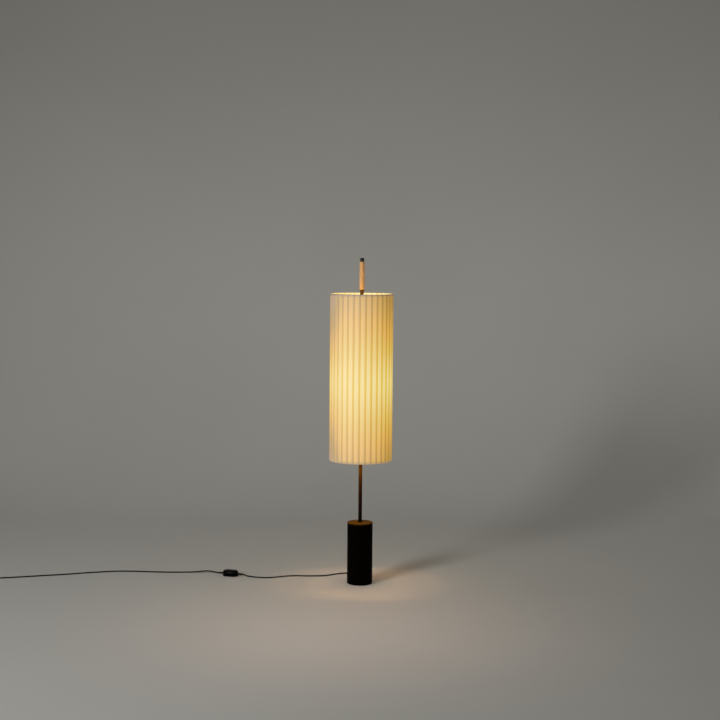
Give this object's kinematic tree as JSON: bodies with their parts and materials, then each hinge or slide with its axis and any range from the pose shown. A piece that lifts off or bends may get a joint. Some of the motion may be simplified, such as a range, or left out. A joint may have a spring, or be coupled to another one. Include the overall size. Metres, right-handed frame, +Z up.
{
  "type": "floor lamp",
  "caption": "Slim floor lamp: tall cylindrical shade of overlapping upright ribbons on a thin stem, heavy cylindrical base, wooden carrying grip, and a foot switch on the mains cord.",
  "frame": {"origin": "middle of the base on the floor", "axes": "+Z up along the stem, +X to the right seen from the front, +Y to the rear, where the cord leaves the base"},
  "size_m": [1.837, 0.3261, 1.4154],
  "materials": {
    "black_paint": "satin dark paint",
    "ballast_iron": "raw casting",
    "zinc_steel": "zinc plated",
    "pad_rubber": "matt",
    "cord_cover": "satin sheath",
    "grip_wood": "oiled pale wood",
    "ribbon_cloth": "stiffened translucent ribbon",
    "holder_plastic": "moulded",
    "contact_brass": "bare",
    "bulb_cap": "bare",
    "bulb_opal": "opal",
    "lead_cover": "smooth",
    "black_plastic": "gloss",
    "spring_steel": "wire",
    "pin_metal": "nickel"
  },
  "bodies": {
    "lamp": {"base_shell": "black_paint", "ballast": "ballast_iron", "bottom_plate": "zinc_steel", "plate_screws": "zinc_steel", "foot_pad": "pad_rubber", "stem_washer": "zinc_steel", "stem_nut": "zinc_steel", "cord_gland": "black_plastic", "gland_nut": "zinc_steel", "gland_relief": "cord_cover", "stem_tube": "black_paint", "grip_collar": "black_paint", "wood_grip": "grip_wood", "top_cap": "black_paint", "upper_shade_frame": "zinc_steel", "lower_shade_frame": "zinc_steel", "shade_ribbons": "ribbon_cloth", "grub_screws": "zinc_steel", "lamp_bracket": "zinc_steel", "bracket_nipples": "zinc_steel", "nipple_nuts": "zinc_steel", "holder_cap_left": "holder_plastic", "holder_cap_right": "holder_plastic", "holder_shell_left": "holder_plastic", "holder_shell_right": "holder_plastic", "holder_insert_left": "contact_brass", "holder_insert_right": "contact_brass", "bulb_base_left": "bulb_cap", "bulb_base_right": "bulb_cap", "bulb_glass_left": "bulb_opal", "bulb_glass_right": "bulb_opal", "inner_cord": "cord_cover", "lead_left": "lead_cover", "lead_right": "lead_cover", "cord_to_switch": "cord_cover", "switch_base": "black_plastic", "switch_cover": "black_plastic", "switch_spring": "spring_steel", "switch_block": "holder_plastic", "switch_screws": "zinc_steel", "switch_feet": "pad_rubber", "switch_relief_left": "cord_cover", "switch_relief_right": "cord_cover", "cord_run": "cord_cover", "cord_coil": "cord_cover", "cord_tail": "cord_cover", "plug_relief": "cord_cover", "plug_body": "black_plastic", "plug_pins": "pin_metal"},
    "button": {"switch_button": "black_plastic"}
  },
  "joints": [
    {"name": "button_press", "type": "slide", "parent": "lamp", "child": "button", "axis": [0, 0, -1], "range_m": [0, 0.0025], "stiffness_N_per_m": 600, "springref_m": -0.004, "deforming": ["switch_spring"]}
  ]
}
